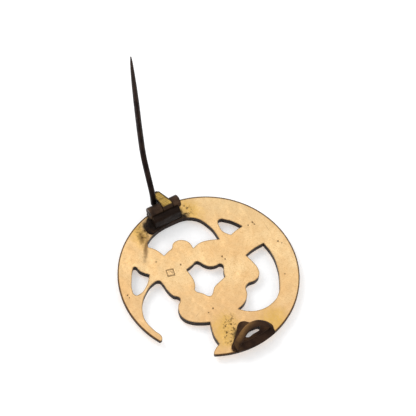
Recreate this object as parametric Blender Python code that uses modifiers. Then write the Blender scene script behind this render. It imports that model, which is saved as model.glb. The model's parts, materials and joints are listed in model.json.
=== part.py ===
"""An openwork crescent and trefoil brooch, lying face down with its pin standing open.

Metres, +Z up. The back of the plate looks up and is flat, and the relief on the front rests on
z = 0. The hinge axis runs along X, and the closed pin runs from the hinge along -Y, across the
plate, to the catch. The origin is under the middle of the object's bounding box.

Lengths below are written in millimetres and multiplied by MM where they are used. Places on the
plate are measured from the middle of its round rim, and heights on the fittings from its back.
"""
import math

import bmesh
import bpy
from mathutils import Matrix, Vector

MM = 0.001
COLLECTION = "openwork_crescent_brooch"

# Plate
RIM_RADIUS = 13.6
BACK_HEIGHT = 1.5        # the flat back, above the table
PLATE_THICKNESS = 1.0    # at the piercings
RIM_THICKNESS = 0.45     # at the outer edge, where the front is sloped away
RIM_SLOPE = 1.3          # how far in from the rim that slope starts
RIM_SIDES = 144
PATTERN_TURN = math.radians(-35.9)
PATTERN_SHIFT = (-0.09, -0.12, 0)
MIDDLE = (0.0, -4.77)    # of the plate, from the origin

# Relief on the front
BORDER_INNER = 11.75
BORDER_OUTER = 12.35
BORDER_START = math.radians(-36)
BORDER_END = math.radians(214)
BORDER_KNOTS = 19        # along each of its two edges
BORDER_ROOT = 0.2        # how far the border's solid reaches into the plate
LOBE_SPHERE = 1.5        # how far a lobe's sphere reaches into the plate, as a share of its rise

# Hinge. X is measured from the middle of the plate, as Y is.
PIN_KNUCKLE_X = -0.25
PIN_KNUCKLE_LENGTH = 1.66
LEFT_KNUCKLE_LENGTH = 2.05
RIGHT_KNUCKLE_LENGTH = 1.28
KNUCKLE_GAP = 0.06       # between neighbouring knuckles
KNUCKLE_RADIUS = 0.95
PIVOT_Y = 12.5
PIVOT_HEIGHT = 1.75
BEARER_LENGTH = 4.4
BEARER_X = -0.67         # its middle, from the middle of the pin's knuckle
RIVET_RADIUS = 0.34
RIVET_FIT = 0.05         # running clearance of the pin's bore on the rivet
TOUCH_GAP = 0.02         # between pieces that rest on each other
RIVET_PROUD = 0.05       # at each end
SOLDER_THICKNESS = 0.22
KNUCKLE_ROUNDING = 0.12
BEARER_ROUNDING = 0.08
ROUND_SIDES = 32

# Pin, standing open
ROOT_TILT = math.radians(-17)   # of the filed block, from level
ROOT_REACH = 2.8                # from the pivot to its outer end
ROOT_DEPTH = 1.55
ROOT_CORNER = 0.35              # cut off its outer right corner
FILED_BACK = 0.03               # how far the block is filed in from the knuckle's surface
ROOT_END_WIDTH = 1.15           # it tapers from the knuckle's width, on the right only
STEM_RADIUS = 0.45

# Catch
HOOK_BACK = -13.2        # back edge of the strip, at the height of the plate's back
HOOK_LEAN = 0.7          # how far the back edge leans to the hinge for each unit of height
HOOK_WIDTH = 1.2         # of the strip at its foot, along the closed pin
HOOK_TAPER = 0.28        # how much narrower it gets for each unit of height
HOOK_ROUNDING = 0.2
FOOT_THICKNESS = 0.3

# Cutters run this far past what they cut, from below to above.
CUTTER_BOTTOM = -1
CUTTER_HEIGHT = 4


def empty(name, location, parent=None, turn=0.0):
    obj = bpy.data.objects.new(name, None)
    obj.empty_display_size = 2 * MM
    obj.location = Vector(location) * MM
    obj.rotation_euler = (0, 0, turn)
    obj.parent = parent
    parts.objects.link(obj)
    return obj


def material(name, colour, roughness, metallic=1.0):
    made = bpy.data.materials.new(name)
    made.use_nodes = True
    shader = made.node_tree.nodes["Principled BSDF"]
    shader.inputs["Base Color"].default_value = (*colour, 1)
    shader.inputs["Roughness"].default_value = roughness
    shader.inputs["Metallic"].default_value = metallic
    made.diffuse_color = (*colour, 1)
    return made


def place(name, data, parent, finish=None):
    """Puts mesh or curve data into the scene, as a part with a finish or as a hidden cutter."""
    obj = bpy.data.objects.new(name, data)
    obj.parent = parent
    if finish:
        data.materials.append(finish)
        parts.objects.link(obj)
    else:
        obj.hide_render = True
        obj.display_type = "WIRE"
        cutters.objects.link(obj)
    return obj


def mesh_from(bm, name, smooth=True):
    bmesh.ops.recalc_face_normals(bm, faces=bm.faces)
    data = bpy.data.meshes.new(name)
    bm.to_mesh(data)
    bm.free()
    if smooth:
        data.shade_smooth()
        data.set_sharp_from_angle(angle=math.radians(35))
    return data


def to_mesh(obj):
    """Swaps a curve object for a mesh of the same shape, with its caps welded on."""
    bpy.context.view_layer.update()
    graph = bpy.context.evaluated_depsgraph_get()
    bm = bmesh.new()
    made = bpy.data.meshes.new_from_object(obj.evaluated_get(graph))
    bm.from_mesh(made)
    bpy.data.meshes.remove(made)
    bmesh.ops.remove_doubles(bm, verts=bm.verts, dist=0.001 * MM)
    name, parent, home = obj.name, obj.parent, obj.users_collection[0]
    matrix, finishes = obj.matrix_local.copy(), list(obj.data.materials)
    hidden = obj.hide_render
    curve = obj.data
    bpy.data.objects.remove(obj)
    bpy.data.curves.remove(curve)
    solid = bpy.data.objects.new(name, mesh_from(bm, name))
    for finish in finishes:
        solid.data.materials.append(finish)
    solid.parent = parent
    solid.matrix_local = matrix
    solid.hide_render = hidden
    solid.display_type = "WIRE" if hidden else "TEXTURED"
    home.objects.link(solid)
    return solid


def outline(name, points, thickness, steps=5):
    """Flat curve data through (x, y) points. A third value marks a point as a sharp corner."""
    data = bpy.data.curves.new(name, "CURVE")
    data.dimensions = "2D"
    data.fill_mode = "BOTH"
    data.extrude = thickness / 2 * MM
    data.resolution_u = steps
    spline = data.splines.new("BEZIER")
    spline.bezier_points.add(len(points) - 1)
    spline.use_cyclic_u = True
    for knot, (x, y, *corner) in zip(spline.bezier_points, points):
        knot.co = (x * MM, y * MM, 0)
        knot.handle_left_type = knot.handle_right_type = "VECTOR" if corner else "AUTO"
    return data


def slab(name, points, bottom, thickness, parent, finish=None, steps=5):
    """A flat outline, thickened upwards from a height, as a mesh."""
    obj = place(name, outline(name, points, thickness, steps), parent, finish)
    obj.location.z = (bottom + thickness / 2) * MM
    return to_mesh(obj)


def cut(obj, cutter, operation="DIFFERENCE"):
    modifier = obj.modifiers.new(cutter.name, "BOOLEAN")
    modifier.operation = operation
    modifier.object = cutter


def rod(name, radius, length, parent, location, finish=None, sides=ROUND_SIDES):
    """A cylinder along X, centred on its location."""
    bm = bmesh.new()
    bmesh.ops.create_cone(
        bm,
        cap_ends=True,
        segments=sides,
        radius1=radius * MM,
        radius2=radius * MM,
        depth=length * MM,
        matrix=Matrix.Rotation(math.pi / 2, 4, "Y"),
    )
    obj = place(name, mesh_from(bm, name), parent, finish)
    obj.location = Vector(location) * MM
    return obj


def profile_along_x(name, points, length, parent, location, finish):
    """A (y, z) outline drawn in the hinge's side view, thickened along X."""
    data = outline(name, points, length)
    obj = place(name, data, parent, finish)
    obj.rotation_euler = (math.pi / 2, 0, math.pi / 2)
    obj.location = Vector(location) * MM
    return to_mesh(obj)


def bevel(obj, width, segments=2, angle=30):
    modifier = obj.modifiers.new("rounded_edges", "BEVEL")
    modifier.width = width * MM
    modifier.segments = segments
    modifier.limit_method = "ANGLE"
    modifier.angle_limit = math.radians(angle)


def tube(name, path, parent, finish, steps=6, sides=4):
    """A round wire through (x, y, z, radius) points, with its ends closed."""
    data = bpy.data.curves.new(name, "CURVE")
    data.dimensions = "3D"
    data.resolution_u = steps
    data.bevel_depth = 1 * MM
    data.bevel_resolution = sides
    data.use_fill_caps = True
    spline = data.splines.new("BEZIER")
    spline.bezier_points.add(len(path) - 1)
    for knot, (x, y, z, radius) in zip(spline.bezier_points, path):
        knot.co = (x * MM, y * MM, z * MM)
        knot.radius = radius
        knot.handle_left_type = knot.handle_right_type = "AUTO"
    return place(name, data, parent, finish)


def arc(radius, start, end, points):
    """(x, y) points along an arc round the middle of the plate."""
    steps = [start + (end - start) * i / (points - 1) for i in range(points)]
    return [(radius * math.cos(a), radius * math.sin(a)) for a in steps]


def turned_disc(name, parent, finish):
    """The round blank: flat back, thin rim, and a front that slopes down to full thickness."""
    top = BACK_HEIGHT
    front = top - PLATE_THICKNESS
    bm = bmesh.new()
    profile = [
        (RIM_RADIUS, top),
        (RIM_RADIUS, top - RIM_THICKNESS),
        (RIM_RADIUS - RIM_SLOPE, front),
    ]
    rings = []
    for radius, height in profile:
        ring = bmesh.ops.create_circle(
            bm,
            segments=RIM_SIDES,
            radius=radius * MM,
            matrix=Matrix.Translation((0, 0, height * MM)),
        )
        rings.append(ring["verts"])
    for upper, lower in zip(rings, rings[1:]):
        for i in range(RIM_SIDES):
            bm.faces.new((upper[i - 1], upper[i], lower[i], lower[i - 1]))
    bm.faces.new(rings[0])
    bm.faces.new(rings[-1])
    return place(name, mesh_from(bm, name), parent, finish)


# ---- scene ---------------------------------------------------------------------------------

for old in list(bpy.data.objects):
    bpy.data.objects.remove(old, do_unlink=True)

parts = bpy.data.collections.new(COLLECTION)
cutters = bpy.data.collections.new("cutters")
bpy.context.scene.collection.children.link(parts)
bpy.context.scene.collection.children.link(cutters)

gilt = material("gilt_brass", (0.85, 0.62, 0.34), 0.38)
tarnished = material("tarnished_brass", (0.055, 0.040, 0.026), 0.48)
filed = material("filed_brass", (0.45, 0.33, 0.13), 0.35)
steel = material("darkened_steel", (0.035, 0.027, 0.022), 0.42)
solder = material("blackened_solder", (0.030, 0.022, 0.016), 0.60)

plate_frame = empty("plate_frame", (*MIDDLE, 0))
pattern_frame = empty("pattern_frame", PATTERN_SHIFT, plate_frame, PATTERN_TURN)
back_frame = empty("back_frame", (0, 0, BACK_HEIGHT), plate_frame)

# ---- plate ---------------------------------------------------------------------------------

# Seen from the back. A trailing 1 marks a sharp corner.
PIERCINGS = {
    "opening_above_leaf": [
        (-9.65, 4.45, 1), (-8.9, 6.0), (-6.6, 8.25), (-3.4, 9.7), (-0.6, 8.45), (1.05, 6.45, 1),
        (-0.65, 6.05), (-1.85, 5.45), (-2.75, 4.4, 1), (-3.45, 5.3), (-4.5, 5.6), (-5.4, 5.3),
        (-5.85, 4.75), (-5.9, 4.0), (-6.4, 3.35), (-6.95, 2.55, 1), (-7.55, 3.0), (-8.5, 3.5),
        (-9.45, 3.7, 1),
    ],
    "opening_beside_leaf": [
        (7.65, 6.65, 1), (6.1, 5.3), (5.2, 4.2, 1), (6.35, 3.2), (7.2, 2.2), (7.5, 1.1),
        (7.0, 0.1), (6.0, -0.55), (5.7, -1.2), (6.0, -2.4), (5.8, -3.8), (4.9, -5.1, 1),
        (6.5, -5.25), (8.3, -4.75), (9.8, -3.5), (10.6, -1.9), (10.6, 0.3), (10.0, 3.0),
        (8.9, 5.2),
    ],
    "gap_at_horn": [
        (-5.75, -11.35), (-7.1, -10.2), (-8.4, -8.95), (-9.0, -7.75), (-9.25, -5.8),
        (-8.9, -4.0), (-8.1, -2.4), (-7.2, -1.8), (-6.55, -2.35), (-5.9, -3.2), (-4.9, -4.05),
        (-3.9, -4.3), (-3.75, -4.8), (-3.95, -5.5), (-3.65, -6.9), (-2.95, -7.7), (-1.8, -8.1),
        (-0.2, -8.05), (1.0, -7.8, 1), (1.25, -8.7), (1.75, -10.0), (2.7, -11.3, 1),
        (2.2, -12.2), (2.05, -13.0), (2.5, -13.7), (2.6, -16, 1), (-9.5, -16, 1),
        (-7.6, -13.0, 1), (-6.6, -12.1), (-6.0, -12.0),
    ],
    "middle_opening": [
        (-3.4, 0.6, 1), (-2.6, 1.5), (-2.05, 2.2), (-1.6, 2.15), (-0.9, 1.8), (0.0, 1.6),
        (0.9, 1.85), (1.5, 2.25), (1.95, 2.1), (2.15, 1.1), (2.45, 0.1, 1), (1.75, -0.8),
        (1.05, -1.85), (0.8, -3.2), (0.55, -3.45), (-0.5, -3.15), (-1.75, -2.75),
        (-1.8, -2.0), (-2.2, -0.9), (-2.85, -0.05),
    ],
    "small_piercing_top": [
        (0.5, 9.55), (0.85, 10.0), (1.55, 10.0), (2.65, 9.8), (4.25, 9.15, 1), (3.3, 8.25),
        (2.65, 7.45, 1), (2.15, 7.55), (1.3, 7.95), (0.85, 8.6),
    ],
    "small_piercing_left": [
        (-11.15, 0.1), (-10.2, -0.55), (-8.75, -0.95, 1), (-9.0, -2.9), (-9.9, -4.5),
        (-10.45, -4.7), (-11.05, -3.8), (-11.3, -2.0), (-11.35, -0.6),
    ],
    "small_piercing_catch": [
        (6.25, -9.35), (6.55, -9.85), (7.5, -9.15), (8.45, -8.1), (8.3, -7.65), (7.4, -7.9),
        (6.6, -8.6),
    ],
}

plate = turned_disc("openwork_plate", plate_frame, gilt)

# (x, y, radius) of the six domed lobes, two to a leaf.
LEAF_LOBES = [
    (-4.3, 3.55, 1.5), (-0.6, 4.1, 1.75), (5.3, 1.5, 1.8), (3.9, -2.6, 1.75),
    (-1.6, -5.7, 2.0), (-5.3, -1.3, 1.5),
]
rise = BACK_HEIGHT - PLATE_THICKNESS
for number, (x, y, radius) in enumerate(LEAF_LOBES, 1):
    bm = bmesh.new()
    bmesh.ops.create_uvsphere(bm, u_segments=24, v_segments=14, radius=1)
    depth = rise * LOBE_SPHERE
    dome = Matrix.Diagonal((radius * MM, radius * MM, depth * MM, 1))
    bmesh.ops.transform(bm, matrix=dome, verts=bm.verts)
    lobe = place(f"leaf_lobe_{number}", mesh_from(bm, "leaf_lobe"), pattern_frame)
    lobe.location = Vector((x, y, depth)) * MM
    cut(plate, lobe, "UNION")


border_points = arc(BORDER_OUTER, BORDER_START, BORDER_END, BORDER_KNOTS)
border_points += arc(BORDER_INNER, BORDER_END, BORDER_START, BORDER_KNOTS)
for corner in (0, BORDER_KNOTS - 1, BORDER_KNOTS, -1):
    border_points[corner] += (1,)
border = slab("raised_border", border_points, 0, rise + BORDER_ROOT, pattern_frame, steps=6)
cut(plate, border, "UNION")

for name, points in PIERCINGS.items():
    cut(plate, slab(name, points, CUTTER_BOTTOM, CUTTER_HEIGHT, pattern_frame))

# ---- hinge ---------------------------------------------------------------------------------

slab(
    "hinge_solder",
    [
        (-3.9, 10.1), (-2.4, 10.25), (-0.4, 10.45), (1.0, 10.5), (1.5, 10.8), (1.6, 11.8),
        (1.5, 12.9), (0.2, 13.25), (-1.8, 13.15), (-3.2, 12.85), (-3.75, 12.1), (-4.2, 11.1),
    ],
    TOUCH_GAP,
    SOLDER_THICKNESS,
    back_frame,
    solder,
)

hinge_frame = empty("hinge_frame", (PIN_KNUCKLE_X, PIVOT_Y, PIVOT_HEIGHT), back_frame)

# Side view of the bearer, (y, z) from the pivot: its front wall stops the closed pin.
under = -PIVOT_HEIGHT + SOLDER_THICKNESS + 2 * TOUCH_GAP
seat = KNUCKLE_RADIUS + TOUCH_GAP
bearer_points = [
    (-2.0, under, 1), (0.75, under, 1), (0.75, -seat, 1), (-seat, -seat, 1), (-seat, 0.45, 1),
    (-1.3, 0.5), (-1.65, 0.2), (-1.9, -0.7),
]
bearer = profile_along_x(
    "hinge_bearer", bearer_points, BEARER_LENGTH, hinge_frame, (BEARER_X, 0, 0), tarnished
)
bevel(bearer, BEARER_ROUNDING)

half_pin = PIN_KNUCKLE_LENGTH / 2 + KNUCKLE_GAP
for name, side, length in (
    ("hinge_knuckle_left", -1, LEFT_KNUCKLE_LENGTH),
    ("hinge_knuckle_right", 1, RIGHT_KNUCKLE_LENGTH),
):
    middle = (side * (half_pin + length / 2), 0, 0)
    knuckle = rod(name, KNUCKLE_RADIUS, length, hinge_frame, middle, tarnished)
    bore = rod(f"{name}_bore", RIVET_RADIUS + TOUCH_GAP, length * 2, hinge_frame, middle)
    bevel(knuckle, KNUCKLE_ROUNDING)
    cut(knuckle, bore)

rivet_length = 2 * (half_pin + RIVET_PROUD) + LEFT_KNUCKLE_LENGTH + RIGHT_KNUCKLE_LENGTH
rivet_middle = (RIGHT_KNUCKLE_LENGTH - LEFT_KNUCKLE_LENGTH) / 2
rod("hinge_rivet", RIVET_RADIUS, rivet_length, hinge_frame, (rivet_middle, 0, 0), tarnished)

# ---- pin -----------------------------------------------------------------------------------

pin_frame = empty("pin_frame", (0, 0, 0), hinge_frame)
root = rod("pin_root", KNUCKLE_RADIUS, PIN_KNUCKLE_LENGTH, pin_frame, (0, 0, 0), filed)
half = PIN_KNUCKLE_LENGTH / 2 - FILED_BACK
block_points = [
    (-half, 0, 1), (-half, ROOT_REACH, 1), (-half + ROOT_END_WIDTH - ROOT_CORNER, ROOT_REACH, 1),
    (-half + ROOT_END_WIDTH, ROOT_REACH - ROOT_CORNER, 1), (half, 0.3, 1), (half, 0, 1),
]
block_top = KNUCKLE_RADIUS - FILED_BACK
block = slab("pin_root_block", block_points, block_top - ROOT_DEPTH, ROOT_DEPTH, pin_frame)
block.rotation_euler.x = ROOT_TILT
block.location.rotate(block.rotation_euler)
cut(root, block, "UNION")
root_bore = rod(
    "pin_root_bore", RIVET_RADIUS + RIVET_FIT, PIN_KNUCKLE_LENGTH * 2, pin_frame, (0, 0, 0)
)
cut(root, root_bore)

# The wire lies along the left side of the block, then bends over and away from the plate.
STEM_PATH = [
    # (x, y, z) from the middle of the pin's knuckle, and the radius as a share of the full one
    (-1.28, 1.42, -0.36, 1.0), (-1.28, 1.98, 1.63, 1.0), (-1.2, 2.87, 2.95, 1.0),
    (-1.05, 4.04, 4.3, 1.0), (-0.87, 5.7, 6.64, 1.0), (-0.78, 7.1, 10.5, 1.0),
    (-0.78, 8.8, 17.3, 0.95), (-0.78, 9.58, 20.4, 0.85), (-0.78, 10.3, 23.3, 0.66),
    (-0.78, 10.73, 25.1, 0.47), (-0.78, 11.02, 26.4, 0.22),
]
stem_path = [(x, y, z, STEM_RADIUS * share) for x, y, z, share in STEM_PATH]
tube("pin_stem", stem_path, pin_frame, steel)

# ---- catch ---------------------------------------------------------------------------------

foot = slab(
    "catch_foot",
    [
        (-3.45, -12.7), (-2.4, -11.4), (-1.3, -10.4), (-0.55, -9.45), (0.3, -9.35), (1.2, -10.1),
        (3.2, -11.1), (3.85, -11.9), (3.6, -12.75), (2.3, -13.2), (0.2, -13.4), (-1.8, -13.25),
        (-3.1, -13.0),
    ],
    TOUCH_GAP,
    FOOT_THICKNESS,
    back_frame,
    tarnished,
)
cut(foot, bpy.data.objects["small_piercing_catch"])

# Front view of the strip, (x, z): foot, bend at the left, arch, and free end at the right.
base = FOOT_THICKNESS + 2 * TOUCH_GAP
HOOK_VIEW = [
    (3.5, base, 1), (2.2, base), (0.6, base), (-1.0, base), (-2.4, base), (-3.15, 0.45),
    (-3.3, 0.8), (-2.6, 1.5), (-1.7, 2.3), (-0.5, 2.9), (0.6, 3.0), (1.7, 2.7), (2.7, 2.05),
    (3.25, 1.4), (3.15, 1.2), (2.85, 1.45), (2.3, 1.85), (1.5, 2.12), (0.5, 2.24), (-0.4, 2.12),
    (-1.3, 1.7), (-1.95, 1.15), (-1.85, 0.92), (-1.3, 0.88), (0.0, 0.88), (1.5, 0.88),
    (3.2, 0.86), (3.55, 0.65),
]
hook = place("catch_hook", outline("catch_hook", HOOK_VIEW, 1, 4), back_frame, tarnished)
hook = to_mesh(hook)
for vert in hook.data.vertices:
    x, height, across = vert.co / MM
    rim_bow = RIM_RADIUS - math.sqrt(RIM_RADIUS**2 - x**2)
    width = HOOK_WIDTH - HOOK_TAPER * height
    y = HOOK_BACK + HOOK_LEAN * height + rim_bow - width * (0.5 + across)
    vert.co = Vector((x, y, height)) * MM
bevel(hook, HOOK_ROUNDING, 3)
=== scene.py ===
"""The look of an openwork crescent and trefoil brooch, lying face down with its pin open.

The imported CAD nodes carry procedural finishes. The solder at the hinge and the hook of the catch
are remade here with more shape. Sizes are in millimetres and become metres through MM. Plate
positions (u, v) are measured from the middle of the plate, in the turned directions of its
pierced pattern.
"""
import json
import math

import bmesh
import bpy
from mathutils import Matrix, Vector, noise


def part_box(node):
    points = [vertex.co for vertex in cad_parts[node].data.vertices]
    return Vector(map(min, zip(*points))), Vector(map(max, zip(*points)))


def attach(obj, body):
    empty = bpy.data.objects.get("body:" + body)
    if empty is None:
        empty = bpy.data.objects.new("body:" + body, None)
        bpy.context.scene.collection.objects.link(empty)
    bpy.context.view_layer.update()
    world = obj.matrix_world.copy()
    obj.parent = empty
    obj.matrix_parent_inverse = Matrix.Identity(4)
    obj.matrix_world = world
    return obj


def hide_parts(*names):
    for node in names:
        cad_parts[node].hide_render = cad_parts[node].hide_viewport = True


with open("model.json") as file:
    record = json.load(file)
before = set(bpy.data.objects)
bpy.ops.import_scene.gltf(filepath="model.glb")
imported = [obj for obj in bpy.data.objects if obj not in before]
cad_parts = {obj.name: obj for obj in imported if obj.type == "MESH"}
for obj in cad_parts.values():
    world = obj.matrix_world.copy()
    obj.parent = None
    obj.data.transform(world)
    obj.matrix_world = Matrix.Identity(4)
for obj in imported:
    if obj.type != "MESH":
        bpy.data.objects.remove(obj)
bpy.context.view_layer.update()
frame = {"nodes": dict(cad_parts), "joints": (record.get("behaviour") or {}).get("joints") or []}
nodes = frame["nodes"]

MM = 0.001
PLATE_LOW, PLATE_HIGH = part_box("openwork_plate")
MIDDLE = (PLATE_LOW + PLATE_HIGH) / 2 / MM
BACK = PLATE_HIGH.z / MM
PATTERN_TURN = math.radians(-35.9)
PIVOT = Vector(frame["joints"][0]["pos_m"]) / MM
ROOT_TILT = math.radians(-17)
RIM_RADIUS = (PLATE_HIGH.x - PLATE_LOW.x) / 2 / MM

# The view
TILT = math.radians(29.7)        # from straight above
ROLL = math.asin(0.110)
VIEW_DISTANCE = 450
LENS = 261.2
AIM_UP = 9.94                    # from the middle of the plate's back, across the view
AIM_RIGHT = -0.11


def to_world(x, y, height):
    """A place in metres, from mm off the middle of the plate and above its back."""
    return Vector((MIDDLE.x + x, MIDDLE.y + y, BACK + height)) * MM


# ---- shader helpers --------------------------------------------------------------------------

def srgb(red, green, blue):
    """A linear colour from 0-255 display values."""
    linear = []
    for value in (red, green, blue):
        share = value / 255
        linear.append(share / 12.92 if share <= 0.04045 else ((share + 0.055) / 1.055) ** 2.4)
    return (*linear, 1)


class Finish:
    """A material whose nodes are made by short calls. Each call returns an output socket."""

    def __init__(self, name, metallic, roughness):
        self.material = bpy.data.materials.new(name)
        self.material.use_nodes = True
        self.tree = self.material.node_tree
        self.shader = self.tree.nodes["Principled BSDF"]
        self.shader.inputs["Metallic"].default_value = metallic
        self.shader.inputs["Roughness"].default_value = roughness
        self.shader.inputs["Specular IOR Level"].default_value = 0.12
        coordinates = self.tree.nodes.new("ShaderNodeTexCoord")
        self.normal = coordinates.outputs["Normal"]
        self.place = self.mapping(coordinates.outputs["Object"], scale=(1000, 1000, 1000))

    def node(self, kind, **settings):
        made = self.tree.nodes.new("ShaderNode" + kind)
        for key, value in settings.items():
            setattr(made, key, value)
        return made

    def feed(self, socket, value):
        if isinstance(value, bpy.types.NodeSocket):
            self.tree.links.new(value, socket)
        else:
            socket.default_value = value

    def mapping(self, vector, kind="POINT", location=(0, 0, 0), turn=0.0, scale=(1, 1, 1)):
        made = self.node("Mapping", vector_type=kind)
        self.feed(made.inputs["Vector"], vector)
        made.inputs["Location"].default_value = location
        made.inputs["Rotation"].default_value = (0, 0, turn)
        made.inputs["Scale"].default_value = scale
        return made.outputs[0]

    def math(self, operation, first, second=0.0, clamp=False):
        made = self.node("Math", operation=operation, use_clamp=clamp)
        self.feed(made.inputs[0], first)
        self.feed(made.inputs[1], second)
        return made.outputs[0]

    def step(self, value, low, high, bottom=0.0, top=1.0):
        made = self.node("MapRange", interpolation_type="SMOOTHSTEP")
        self.feed(made.inputs["Value"], value)
        made.inputs["From Min"].default_value = low
        made.inputs["From Max"].default_value = high
        made.inputs["To Min"].default_value = bottom
        made.inputs["To Max"].default_value = top
        return made.outputs["Result"]

    def noise(self, vector, scale, detail=3.0, rough=0.55):
        made = self.node("TexNoise")
        self.feed(made.inputs["Vector"], vector)
        made.inputs["Scale"].default_value = scale
        made.inputs["Detail"].default_value = detail
        made.inputs["Roughness"].default_value = rough
        return made.outputs["Fac"]

    def mix(self, share, first, second):
        made = self.node("Mix", data_type="RGBA")
        self.feed(made.inputs[0], share)
        self.feed(made.inputs[6], first)
        self.feed(made.inputs[7], second)
        return made.outputs[2]

    def axis(self, vector, name):
        made = self.node("SeparateXYZ")
        self.feed(made.inputs[0], vector)
        return made.outputs[name]

    def blob(self, vector, centre, size, turn=0.0, inner=0.4, ragged=0.0):
        """1 inside an ellipse on the plate and 0 outside, with a soft or a ragged edge."""
        local = self.mapping(vector, "TEXTURE", (*centre, 0), turn, (*size, 1000))
        made = self.node("VectorMath", operation="LENGTH")
        self.feed(made.inputs[0], local)
        distance = made.outputs["Value"]
        if ragged:
            wander = self.noise(vector, 1.6, 4, 0.65)
            offset = self.math("MULTIPLY", self.math("SUBTRACT", wander, 0.5), ragged)
            distance = self.math("ADD", distance, offset)
        return self.step(distance, inner, 1, 1, 0)

    def union(self, masks):
        total = masks[0]
        for mask in masks[1:]:
            total = self.math("MAXIMUM", total, mask)
        return total

    def bump(self, height, depth, below=None):
        """Bump that is depth mm deep where height goes from 0 to 1."""
        made = self.node("Bump")
        made.inputs["Strength"].default_value = 1
        made.inputs["Distance"].default_value = depth * MM
        self.feed(made.inputs["Height"], height)
        if below:
            self.feed(made.inputs["Normal"], below)
        return made.outputs[0]

    def rounded(self, radius):
        """The surface direction as if each edge had this radius, in mm."""
        made = self.node("Bevel", samples=6)
        made.inputs["Radius"].default_value = radius * MM
        return made.outputs[0]

    def edges(self, radius):
        """1 along sharp edges, within about this many mm of them, and 0 elsewhere."""
        facing = self.node("NewGeometry").outputs["Normal"]
        made = self.node("VectorMath", operation="DOT_PRODUCT")
        self.feed(made.inputs[0], facing)
        self.feed(made.inputs[1], self.rounded(radius))
        return self.step(made.outputs["Value"], 0.90, 0.995, 1, 0)

    def finish(self, colour=None, roughness=None, normal=None, metallic=None):
        for name, value in (
            ("Base Color", colour), ("Roughness", roughness), ("Normal", normal),
            ("Metallic", metallic),
        ):
            if value is not None:
                self.feed(self.shader.inputs[name], value)
        return self.material


# ---- finishes --------------------------------------------------------------------------------

GOLD = srgb(246, 213, 161)
GOLD_DEEP = srgb(238, 196, 139)
GOLD_YELLOW = srgb(222, 180, 101)
BROWN = srgb(96, 66, 36)
NEAR_BLACK = srgb(34, 26, 20)


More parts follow.
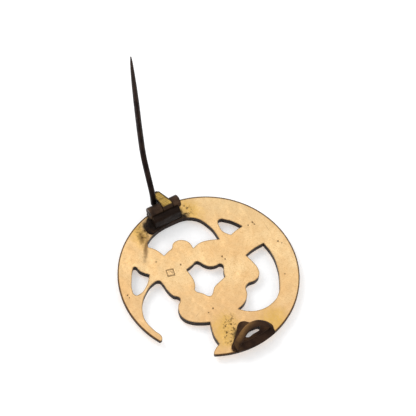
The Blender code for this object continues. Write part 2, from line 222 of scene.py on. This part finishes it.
def gilt_plate():
    """Satin gilt brass: fine scratches, casting pits, stains by the fittings, and painted shade on
    the walls and towards the horn end.
    """
    f = Finish("worn_gilt_brass", 1.0, 0.4)
    centred = f.mapping(f.place, location=(-MIDDLE.x, -MIDDLE.y, 0))
    uv = f.mapping(centred, turn=-PATTERN_TURN)

    broad = f.noise(uv, 0.16, 2, 0.5)
    cloud = f.noise(uv, 0.9, 4, 0.6)
    grain = f.noise(uv, 9, 3, 0.6)
    tone = f.math("ADD", f.step(broad, 0.35, 0.65, 0, 0.7), f.step(cloud, 0.35, 0.7, 0, 0.45))
    colour = f.mix(tone, GOLD, GOLD_DEEP)
    mottle = f.step(f.noise(uv, 4.5, 3, 0.7), 0.44, 0.70, 0, 0.50)
    colour = f.mix(mottle, colour, srgb(206, 164, 108))
    # Painted shade: the gold is made darker towards the horn end of the plate.
    painted_shade_toward_horn = f.step(f.axis(uv, "Y"), -10, 3, 0.55, 0)
    colour = f.mix(painted_shade_toward_horn, colour, srgb(216, 172, 120))
    toward_hinge = f.step(f.axis(uv, "Y"), 7, 13, 0, 0.4)
    colour = f.mix(toward_hinge, colour, srgb(218, 186, 136))

    # Yellower metal where the heat of soldering or handling reached.
    warm = f.union([
        f.blob(uv, (-4.2, 10.9), (3.8, 2.4), -0.5, 0.2, 0.7),
        f.blob(uv, (-11.0, 5.6), (2.0, 3.4), 0.5, 0.2, 0.7),
        f.blob(uv, (3.6, -9.2), (2.9, 4.2), 0.2, 0.3, 0.8),
        f.blob(uv, (10.4, -6.6), (3.2, 3.4), 0, 0.2, 0.8),
    ])
    warm_speckle = f.step(f.noise(uv, 5, 4, 0.7), 0.3, 0.6, 0.45, 1)
    colour = f.mix(f.math("MULTIPLY", warm, warm_speckle), colour, GOLD_YELLOW)

    # Brown stains.
    stain = f.union([
        f.blob(uv, (-9.75, 3.6), (0.55, 3.6), 0.0, 0.1, 1.1),
        f.blob(uv, (-9.5, 6.7), (1.9, 1.3), -0.6, 0.2, 0.9),
        f.blob(uv, (-10.6, 5.0), (0.9, 2.2), 0.3, 0.0, 1.2),
    ])
    colour = f.mix(f.math("MULTIPLY", stain, 0.75), colour, BROWN)
    speckle_field = f.union([
        f.blob(uv, (4.0, -8.8), (1.4, 3.4), 0.1, 0.4, 0.6),
        f.blob(uv, (-4.5, 10.3), (1.5, 1.9), 0.3, 0.4, 0.6),
        f.blob(uv, (-10.6, 6.0), (1.2, 2.0), 0.3, 0.3, 0.6),
    ])
    specks = f.step(f.noise(uv, 2.1, 4, 0.75), 0.53, 0.62)
    specks = f.math("MULTIPLY", specks, speckle_field)
    scorch = f.union([
        f.blob(uv, (6.5, -9.2), (2.5, 1.9), 0.65, 0.6, 0.35),
        f.blob(uv, (-8.1, 8.3), (3.3, 2.0), 0.62, 0.6, 0.55),
        f.blob(uv, (-9.8, 7.0), (1.5, 1.0), -0.75, 0.5, 0.5),
        f.blob(uv, (-5.35, 10.2), (0.7, 1.5), 0.62, 0.1, 0.9),
        f.blob(uv, (-6.5, 8.3), (3.3, 1.15), 0.60, 0.75, 0.3),
    ])

    # Single pits: place and radius.
    pits = []
    for u, v, radius in (
        (1.7, 3.4, 0.2), (2.2, 3.0, 0.17), (-4.3, 1.2, 0.2), (5.1, 9.3, 0.15), (5.7, 9.9, 0.2),
        (6.0, 9.6, 0.15), (9.8, 7.1, 0.2), (10.4, 6.9, 0.12), (-11.6, -5.0, 0.16),
        (-11.3, -5.4, 0.12), (1.2, -5.6, 0.18), (0.6, -6.4, 0.12), (-8.0, 1.2, 0.12),
        (11.3, 1.6, 0.13),
    ):
        pits.append(f.blob(uv, (u, v), (1.3 * radius, radius), u, 0.2))
    pit = f.union(pits)
    scratch = f.union([
        f.blob(uv, (-8.1, 0.12), (1.3, 0.055), 0.13, 0.1),
        f.blob(uv, (8.0, 9.2), (1.6, 0.05), -0.9, 0.1),
        f.blob(uv, (-1.0, -7.0), (0.9, 0.05), 1.1, 0.1),
    ])

    # A worn, empty punch mark: a rounded square and nothing in it.
    local = f.mapping(uv, "TEXTURE", (-5.67, -0.35, 0), math.radians(22), (1, 1, 1))
    side_x = f.math("ABSOLUTE", f.axis(local, "X"))
    side_y = f.math("ABSOLUTE", f.axis(local, "Y"))
    edge = f.math("SMOOTH_MAX", side_x, side_y)
    edge.node.inputs[2].default_value = 0.25
    inside = f.step(edge, 0.56, 0.68, 1, 0)
    ring = f.math("SUBTRACT", inside, f.step(edge, 0.36, 0.50, 1, 0))
    worn_floor = f.math("MULTIPLY", inside, f.step(f.noise(uv, 3.2, 2, 0.6), 0.42, 0.62, 0.0, 0.5))
    ring = f.math("MAXIMUM", f.math("MULTIPLY", ring, f.step(grain, 0.3, 0.6, 0.6, 1)), worn_floor)

    dark = f.union([
        f.math("MULTIPLY", pit, 0.9), f.math("MULTIPLY", specks, 0.85),
        f.math("MULTIPLY", ring, 0.8), f.math("MULTIPLY", scratch, 0.4),
    ])
    colour = f.mix(dark, colour, BROWN)
    colour = f.mix(f.math("MULTIPLY", scorch, 0.96), colour, NEAR_BLACK)

    # Painted shade: the walls of the piercings and of the rim are painted near-black and made
    # nearly non-metallic. A dark brown line also runs along sharp edges and the outer rim.
    upright = f.math("ABSOLUTE", f.axis(f.normal, "Z"))
    shaded_wall = f.step(upright, 0.35, 0.75, 1, 0)
    height = f.axis(f.place, "Z")
    shaded_wall = f.math("MULTIPLY", shaded_wall, f.step(height, BACK - 0.07, BACK - 0.01, 1, 0.35))
    painted_wall_shade = f.mix(f.step(cloud, 0.3, 0.7), srgb(24, 14, 9), srgb(44, 27, 16))
    radial = f.node("VectorMath", operation="LENGTH")
    f.feed(radial.inputs[0], f.mapping(centred, scale=(1, 1, 0)))
    outer = f.step(radial.outputs["Value"], RIM_RADIUS - 0.26, RIM_RADIUS - 0.12)
    rim = f.math("MAXIMUM", f.math("MULTIPLY", f.edges(0.3), 0.75), outer)
    rim = f.math("MULTIPLY", rim, f.step(grain, 0.2, 0.6, 0.7, 1))
    colour = f.mix(rim, colour, srgb(74, 47, 30))
    # Painted shade on the walls.
    colour = f.mix(shaded_wall, colour, painted_wall_shade)
    rough = f.step(grain, 0.25, 0.75, 0.36, 0.50)
    rough = f.math("ADD", rough, f.math("MULTIPLY", dark, 0.15), clamp=True)
    rough = f.math("MAXIMUM", rough, f.math("MULTIPLY", scorch, 0.62))

    # Fine hairlines in three directions, over a soft unevenness.
    hairs = []
    for turn, seed in ((0.25, 0.0), (1.15, 11.0), (-0.6, 23.0)):
        drawn = f.mapping(uv, "TEXTURE", (seed, 0, 0), turn, (6, 0.16, 6))
        hairs.append(f.step(f.noise(drawn, 1.0, 2, 0.6), 0.60, 0.72))
    hairline = f.union(hairs)
    normal = f.bump(f.noise(uv, 0.35, 2, 0.5), 0.22, f.rounded(0.07))
    normal = f.bump(grain, 0.006, normal)
    normal = f.bump(f.math("SUBTRACT", 1.0, hairline), 0.006, normal)
    normal = f.bump(f.math("SUBTRACT", 1.0, f.union([pit, specks])), 0.06, normal)
    normal = f.bump(f.math("SUBTRACT", 1.0, ring), 0.045, normal)
    # Painted shade: the walls lose most of their metal sheen, as do the scorch marks.
    metal = f.math("SUBTRACT", 1.0, f.math("MULTIPLY", f.math("MAXIMUM", shaded_wall, scorch), 0.95))
    return f.finish(colour, rough, normal, metal)


def tarnished(name, dark, light, seed, edge=0.06):
    """Brown-black tarnished brass, a little lighter and smoother where it has been rubbed."""
    f = Finish(name, 0.6, 0.45)
    moved = f.mapping(f.place, location=(seed, 2 * seed, 0))
    cloud = f.noise(moved, 0.45, 3, 0.55)
    grain = f.noise(moved, 7, 4, 0.65)
    rubbed = f.math("MULTIPLY", f.step(cloud, 0.35, 0.7), f.step(grain, 0.3, 0.62, 0.6, 1))
    colour = f.mix(rubbed, dark, light)
    rough = f.step(cloud, 0.3, 0.7, 0.50, 0.36)
    normal = f.bump(f.noise(moved, 1.2, 2, 0.5), 0.07, f.rounded(edge))
    normal = f.bump(grain, 0.012, normal)
    return f, colour, rough, normal


def plain_tarnished(name, dark, light, seed, edge=0.06):
    f, colour, rough, normal = tarnished(name, dark, light, seed, edge)
    return f.finish(colour, rough, normal)


def hook_with_painted_highlight():
    """The catch: dark brass, with a painted bronze highlight on the upper left of its arch."""
    dark = (srgb(38, 25, 18), srgb(60, 41, 29))
    f, colour, rough, normal = tarnished("catch_with_painted_highlight", *dark, 9.0, 0.15)
    # Painted highlight: bronze where the arch's surface faces up and to the left, on its high,
    # left part.
    facing = f.node("VectorMath", operation="DOT_PRODUCT")
    f.feed(facing.inputs[0], f.normal)
    facing.inputs[1].default_value = Vector((-0.45, -0.10, 0.88)).normalized()
    grain = f.noise(f.place, 4, 4, 0.6)
    sideways = f.axis(f.place, "X")
    high = f.step(f.axis(f.place, "Z"), BACK + 1.0, BACK + 2.3)
    bend = f.step(sideways, MIDDLE.x - 2.8, MIDDLE.x - 1.9, 0.35, 0)
    high = f.math("MAXIMUM", high, bend)
    left = f.step(sideways, MIDDLE.x - 0.2, MIDDLE.x + 2.6, 1, 0)
    wear_and_highlight = f.math("MULTIPLY", f.step(facing.outputs["Value"], 0.58, 0.93), high)
    wear_and_highlight = f.math("MULTIPLY", wear_and_highlight, left)
    wear_and_highlight = f.math("MULTIPLY", wear_and_highlight, f.step(grain, 0.25, 0.6, 0.7, 1))
    colour = f.mix(wear_and_highlight, colour, srgb(122, 90, 54))
    return f.finish(colour, rough, normal)


def filed_root():
    """The filed block: olive brass on the face that is kept bright, tarnish on its sides."""
    f, dark, rough, normal = tarnished(
        "filed_brass_root", srgb(36, 26, 19), srgb(64, 46, 30), 5.0, 0.08
    )
    about_pivot = f.mapping(f.place, location=tuple(-PIVOT))
    face = f.node("VectorMath", operation="DOT_PRODUCT")
    f.feed(face.inputs[0], about_pivot)
    face.inputs[1].default_value = (0, -math.sin(ROOT_TILT), math.cos(ROOT_TILT))
    along = f.axis(about_pivot, "Y")
    across = f.axis(about_pivot, "X")
    top = f.step(face.outputs["Value"], 0.66, 0.82)
    streaks = f.mapping(about_pivot, "TEXTURE", (0, 0, 0), 0.12, (4, 0.14, 4))
    filed = f.noise(streaks, 1.0, 3, 0.6)
    patch = f.noise(about_pivot, 1.4, 3, 0.6)
    bright = f.mix(f.step(filed, 0.35, 0.65), srgb(158, 126, 62), srgb(212, 178, 98))
    bright = f.mix(f.step(patch, 0.5, 0.72, 0, 0.55), bright, srgb(112, 84, 40))
    strokes = f.mapping(about_pivot, "TEXTURE", (0, 0, 0), -1.25, (5, 0.2, 5))
    stroke = f.step(f.noise(strokes, 1.3, 2, 0.5), 0.50, 0.58, 0, 0.5)
    bright = f.mix(stroke, bright, srgb(92, 68, 30))
    wear_and_highlight = f.math("MULTIPLY", top, f.step(along, -0.62, -0.25))
    slant = f.math("ADD", across, f.math("MULTIPLY", along, 0.21))
    for share in (
        f.step(slant, 0.62, 0.76, 1, 0.1), f.step(across, -0.76, -0.62, 0.1, 1),
        f.step(along, 2.4, 2.6, 1, 0.1),
    ):
        wear_and_highlight = f.math("MULTIPLY", wear_and_highlight, share)
    colour = f.mix(wear_and_highlight, dark, bright)
    normal = f.bump(f.math("MULTIPLY", filed, top), 0.02, normal)
    metal = f.math("ADD", f.math("MULTIPLY", wear_and_highlight, 0.65), 0.25)
    return f.finish(colour, rough, normal, metal)


def steel_wire():
    """Blackened wire, browner in patches, with drawn marks, a little rubbed at the point."""
    f = Finish("blackened_wire", 0.8, 0.4)
    drawn = f.mapping(f.place, scale=(3.0, 1.5, 0.35))
    cloud = f.noise(f.place, 0.7, 4, 0.65)
    mark = f.noise(drawn, 2.2, 3, 0.6)
    colour = f.mix(f.step(cloud, 0.4, 0.66), srgb(26, 18, 17), srgb(46, 34, 30))
    height = f.axis(f.place, "Z")
    colour = f.mix(f.step(height, 20, 29, 0, 0.2), colour, srgb(92, 74, 64))
    rough = f.step(mark, 0.3, 0.7, 0.30, 0.52)
    normal = f.bump(f.noise(f.place, 2.0, 4, 0.6), 0.05)
    normal = f.bump(mark, 0.02, normal)
    return f.finish(colour, rough, normal)


def old_solder():
    f = Finish("blackened_solder", 0.55, 0.6)
    cloud = f.noise(f.place, 1.3, 4, 0.65)
    grain = f.noise(f.place, 8, 4, 0.7)
    colour = f.mix(f.step(cloud, 0.45, 0.7), srgb(26, 19, 15), srgb(52, 36, 25))
    rough = f.step(grain, 0.3, 0.7, 0.42, 0.72)
    normal = f.bump(f.noise(f.place, 3, 4, 0.6), 0.1)
    normal = f.bump(grain, 0.03, normal)
    return f.finish(colour, rough, normal)


def dress(name, material):
    slots = nodes[name].material_slots
    for slot in slots:
        slot.material = material


dress("openwork_plate", gilt_plate())
knuckle_tones = (srgb(40, 29, 23), srgb(80, 60, 45))
bearer_tones = (srgb(24, 16, 12), srgb(38, 27, 21))
dress("hinge_bearer", plain_tarnished("tarnished_bearer", *bearer_tones, 1.0, 0.2))
dress("hinge_knuckle_left", plain_tarnished("tarnished_knuckle_left", *knuckle_tones, 2.0))
dress("hinge_knuckle_right", plain_tarnished("tarnished_knuckle_right", *knuckle_tones, 8.0))
dress("hinge_rivet", plain_tarnished("tarnished_rivet", *knuckle_tones, 4.0))
dress("catch_foot", plain_tarnished("tarnished_foot", srgb(46, 30, 22), srgb(84, 60, 38), 6.0))
dress("pin_root", filed_root())
dress("pin_stem", steel_wire())


# ---- solder ----------------------------------------------------------------------------------

def solder_run(name, rim, centre, crown, seed):
    """A lumpy run of solder on the back of the plate, inside a rim of (x, y) points from the
    middle of the plate. It is highest at its centre, and thins out unevenly to its rim."""
    bm = bmesh.new()
    count = 96
    rings = 14
    hub = Vector((*centre, 0))
    curve = []
    for i in range(count):
        at = i * len(rim) / count
        k = int(at)
        t = at - k
        p = [Vector((*rim[(k + j) % len(rim)], 0)) for j in (-1, 0, 1, 2)]
        a = 2 * p[1] + (p[2] - p[0]) * t
        b = (2 * p[0] - 5 * p[1] + 4 * p[2] - p[3]) * t * t
        c = (3 * p[1] - p[0] - 3 * p[2] + p[3]) * t * t * t
        curve.append((a + b + c) / 2)
    grid = []
    for ring in range(rings + 1):
        share = 1 - ring / (rings + 1)
        row = []
        for point in curve:
            flat = hub.lerp(point, share)
            wobble = noise.noise(Vector((flat.x * 1.3, flat.y * 1.3, seed)))
            lumps = noise.noise(Vector((flat.x * 3.1, flat.y * 3.1, seed + 5)))
            swell = math.sqrt(max(0.0, 1 - share ** 2.5))
            height = crown * swell * (1 + 0.35 * wobble) + 0.05 * lumps * swell
            out = flat + (flat - hub).normalized() * 0.16 * wobble * share
            row.append(bm.verts.new(to_world(out.x, out.y, 0.03 + max(height, 0))))
        grid.append(row)
    under = [bm.verts.new(v.co - Vector((0, 0, 0.015 * MM))) for v in grid[0]]
    for upper, lower in zip(grid[1:] + [grid[0]], grid[:-1] + [under]):
        for i in range(count):
            bm.faces.new((lower[i - 1], lower[i], upper[i], upper[i - 1]))
    bm.faces.new(grid[-1])
    bm.faces.new(under[::-1])
    bmesh.ops.recalc_face_normals(bm, faces=bm.faces)
    mesh = bpy.data.meshes.new(name)
    bm.to_mesh(mesh)
    bm.free()
    mesh.shade_smooth()
    piece = bpy.data.objects.new(name, mesh)
    bpy.context.scene.collection.objects.link(piece)
    piece.data.materials.append(old_solder())
    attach(piece, "brooch")
    return piece


hinge_run = solder_run(
    "solder_at_hinge",
    [
        (-4.0, 10.0), (-2.6, 10.2), (-1.2, 10.35), (0.2, 10.45), (1.2, 10.5), (1.7, 10.85),
        (1.75, 11.8), (1.5, 12.7), (0.2, 13.1), (-1.8, 13.1), (-3.2, 12.8), (-3.9, 12.0),
        (-4.4, 11.0),
    ],
    (-1.4, 11.6),
    0.32,
    3.0,
)
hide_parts("hinge_solder")


# ---- catch -----------------------------------------------------------------------------------

HOOK_BACK = -13.2
HOOK_LEAN = 0.7
HOOK_WIDTH = 1.2
HOOK_TAPER = 0.28


def smooth_path(knots, steps):
    """Values along a smooth curve through the knots, which are tuples of one length."""
    path = []
    ends = [knots[0]] + list(knots) + [knots[-1]]
    for a, b, c, d in zip(ends, ends[1:], ends[2:], ends[3:]):
        for i in range(steps):
            t = i / steps
            path.append(tuple(
                0.5 * (2 * q + (r - p) * t + (2 * p - 5 * q + 4 * r - s) * t * t
                       + (3 * q - p - 3 * r + s) * t ** 3)
                for p, q, r, s in zip(a, b, c, d)
            ))
    path.append(knots[-1])
    return path


def formed_hook():
    """The catch: one band bent into a leaning C, with rounded edges and a painted highlight.

    Each knot is the band's middle in the front view, (x, height), and half its thickness."""
    knots = [
        (3.62, 0.60, 0.16), (3.3, 0.61, 0.26), (2.2, 0.61, 0.27), (0.6, 0.61, 0.27),
        (-0.9, 0.61, 0.27), (-2.1, 0.64, 0.30), (-2.72, 0.84, 0.38), (-2.42, 1.22, 0.38),
        (-1.92, 1.62, 0.36), (-1.3, 2.08, 0.37), (-0.45, 2.50, 0.38), (0.55, 2.62, 0.37),
        (1.6, 2.38, 0.32), (2.5, 1.90, 0.25), (3.05, 1.45, 0.18), (3.22, 1.22, 0.10),
    ]
    path = smooth_path(knots, 7)
    around = 36
    bm = bmesh.new()
    sections = []
    for i, (x, height, half) in enumerate(path):
        before, after = path[max(i - 1, 0)], path[min(i + 1, len(path) - 1)]
        heading = Vector((after[0] - before[0], 0, after[1] - before[1])).normalized()
        out = Vector((-heading.z, 0, heading.x))
        near_end = min(i, len(path) - 1 - i)
        shrink = math.sqrt(min(1.0, (near_end + 0.4) / 4))
        section = []
        for k in range(around):
            angle = 2 * math.pi * k / around
            c = math.copysign(abs(math.cos(angle)) ** 0.75, math.cos(angle))
            s = math.copysign(abs(math.sin(angle)) ** 0.75, math.sin(angle))
            dent = 0.03 * noise.noise(Vector((x * 0.9, height * 0.9, 4 + 0.5 * s)))
            at = Vector((x, 0, height)) + out * c * (half * shrink + dent)
            bow = RIM_RADIUS - math.sqrt(RIM_RADIUS ** 2 - at.x ** 2)
            width = HOOK_WIDTH - HOOK_TAPER * at.z
            y = HOOK_BACK + HOOK_LEAN * at.z + bow - width * (0.5 - 0.5 * s * shrink)
            section.append(bm.verts.new(to_world(at.x, y, at.z)))
        sections.append(section)
    for first, second in zip(sections, sections[1:]):
        for k in range(around):
            bm.faces.new((first[k - 1], first[k], second[k], second[k - 1]))
    bm.faces.new(sections[0])
    bm.faces.new(sections[-1])
    bmesh.ops.recalc_face_normals(bm, faces=bm.faces)
    mesh = bpy.data.meshes.new("formed_catch_hook")
    bm.to_mesh(mesh)
    bm.free()
    mesh.shade_smooth()
    piece = bpy.data.objects.new("formed_catch_hook", mesh)
    bpy.context.scene.collection.objects.link(piece)
    piece.data.materials.append(hook_with_painted_highlight())
    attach(piece, "brooch")
    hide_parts("catch_hook")


formed_hook()


def soften(name, width, segments=3):
    """Rounds the sharp edges of a CAD node, by this many mm."""
    rounding = nodes[name].modifiers.new("softened_edges", "BEVEL")
    rounding.width = width * MM
    rounding.segments = segments
    rounding.limit_method = "ANGLE"
    rounding.angle_limit = math.radians(40)


soften("pin_root", 0.12)
soften("hinge_bearer", 0.22)
soften("hinge_knuckle_left", 0.12)
soften("hinge_knuckle_right", 0.12)


# ---- stage, camera and light -----------------------------------------------------------------

def paper():
    f = Finish("white_paper", 0.0, 0.9)
    fibre = f.noise(f.place, 1.2, 4, 0.6)
    colour = f.mix(f.step(fibre, 0.3, 0.7), (0.74, 0.74, 0.745, 1), (0.70, 0.70, 0.708, 1))
    f.shader.inputs["Emission Color"].default_value = (1, 1, 1, 1)
    f.shader.inputs["Emission Strength"].default_value = 0.36
    return f.finish(colour, None, f.bump(fibre, 0.01))


floor_mesh = bpy.data.meshes.new("paper")
bm = bmesh.new()
bmesh.ops.create_grid(bm, x_segments=2, y_segments=2, size=1.5)
bm.to_mesh(floor_mesh)
bm.free()
floor = bpy.data.objects.new("paper", floor_mesh)
floor.data.materials.append(paper())
floor.location.z = -0.01 * MM
bpy.context.scene.collection.objects.link(floor)

across = Vector((math.cos(PATTERN_TURN), math.sin(PATTERN_TURN), 0))
along = Vector((-math.sin(PATTERN_TURN), math.cos(PATTERN_TURN), 0))
upright = Vector((0, 0, 1))
rise = math.cos(TILT) * along + math.sin(TILT) * upright
toward = math.cos(TILT) * upright - math.sin(TILT) * along
view_up = math.cos(ROLL) * rise - math.sin(ROLL) * across
view_right = math.cos(ROLL) * across + math.sin(ROLL) * rise

camera_data = bpy.data.cameras.new("camera")
camera_data.sensor_width = 36
camera_data.lens = LENS
camera_data.clip_start = 0.01
camera_data.clip_end = 10
camera = bpy.data.objects.new("camera", camera_data)
bpy.context.scene.collection.objects.link(camera)
plate_back = to_world(0, 0, 0)
camera.location = plate_back + toward * VIEW_DISTANCE * MM
aim = plate_back + (view_up * AIM_UP + view_right * AIM_RIGHT) * MM
back = (camera.location - aim).normalized()
right = view_up.cross(back).normalized()
camera.rotation_euler = Matrix((right, back.cross(right), back)).transposed().to_euler()
bpy.context.scene.camera = camera


def soft_light(name, direction, distance, size, power):
    data = bpy.data.lights.new(name, "AREA")
    data.shape = "DISK"
    data.size = size
    data.energy = power
    obj = bpy.data.objects.new(name, data)
    bpy.context.scene.collection.objects.link(obj)
    obj.location = Vector(direction).normalized() * distance
    obj.rotation_euler = Vector(direction).to_track_quat("Z", "Y").to_euler()


soft_light("key", (-0.35, 0.75, 1.0), 0.6, 0.30, 1.1)
soft_light("fill", (0.5, -0.9, 0.7), 0.8, 0.50, 0.35)

world = bpy.data.worlds.new("studio")
world.use_nodes = True
bpy.context.scene.world = world
sky = world.node_tree
background = sky.nodes["Background"]
directions = sky.nodes.new("ShaderNodeTexCoord")
split = sky.nodes.new("ShaderNodeSeparateXYZ")
sky.links.new(directions.outputs["Generated"], split.inputs[0])
brightest = sky.nodes.new("ShaderNodeMath")
brightest.operation = "MAXIMUM"
# A bright band at the horizon, and a sky that brightens overhead. Each is a range of heights and
# the strengths at its two ends, and the stronger of the two shows.
sky_bands = ((0.2, 0.45, 1.0, 0.55), (0.0, 0.75, 0.55, 0.95))
for number, (low, high, first, last) in enumerate(sky_bands):
    grade = sky.nodes.new("ShaderNodeMapRange")
    grade.inputs["From Min"].default_value = low
    grade.inputs["From Max"].default_value = high
    grade.inputs["To Min"].default_value = first
    grade.inputs["To Max"].default_value = last
    sky.links.new(split.outputs["Z"], grade.inputs["Value"])
    sky.links.new(grade.outputs["Result"], brightest.inputs[number])
sky.links.new(brightest.outputs[0], background.inputs["Strength"])
background.inputs["Color"].default_value = (1, 1, 1, 1)
bpy.context.scene.view_settings.view_transform = "Standard"
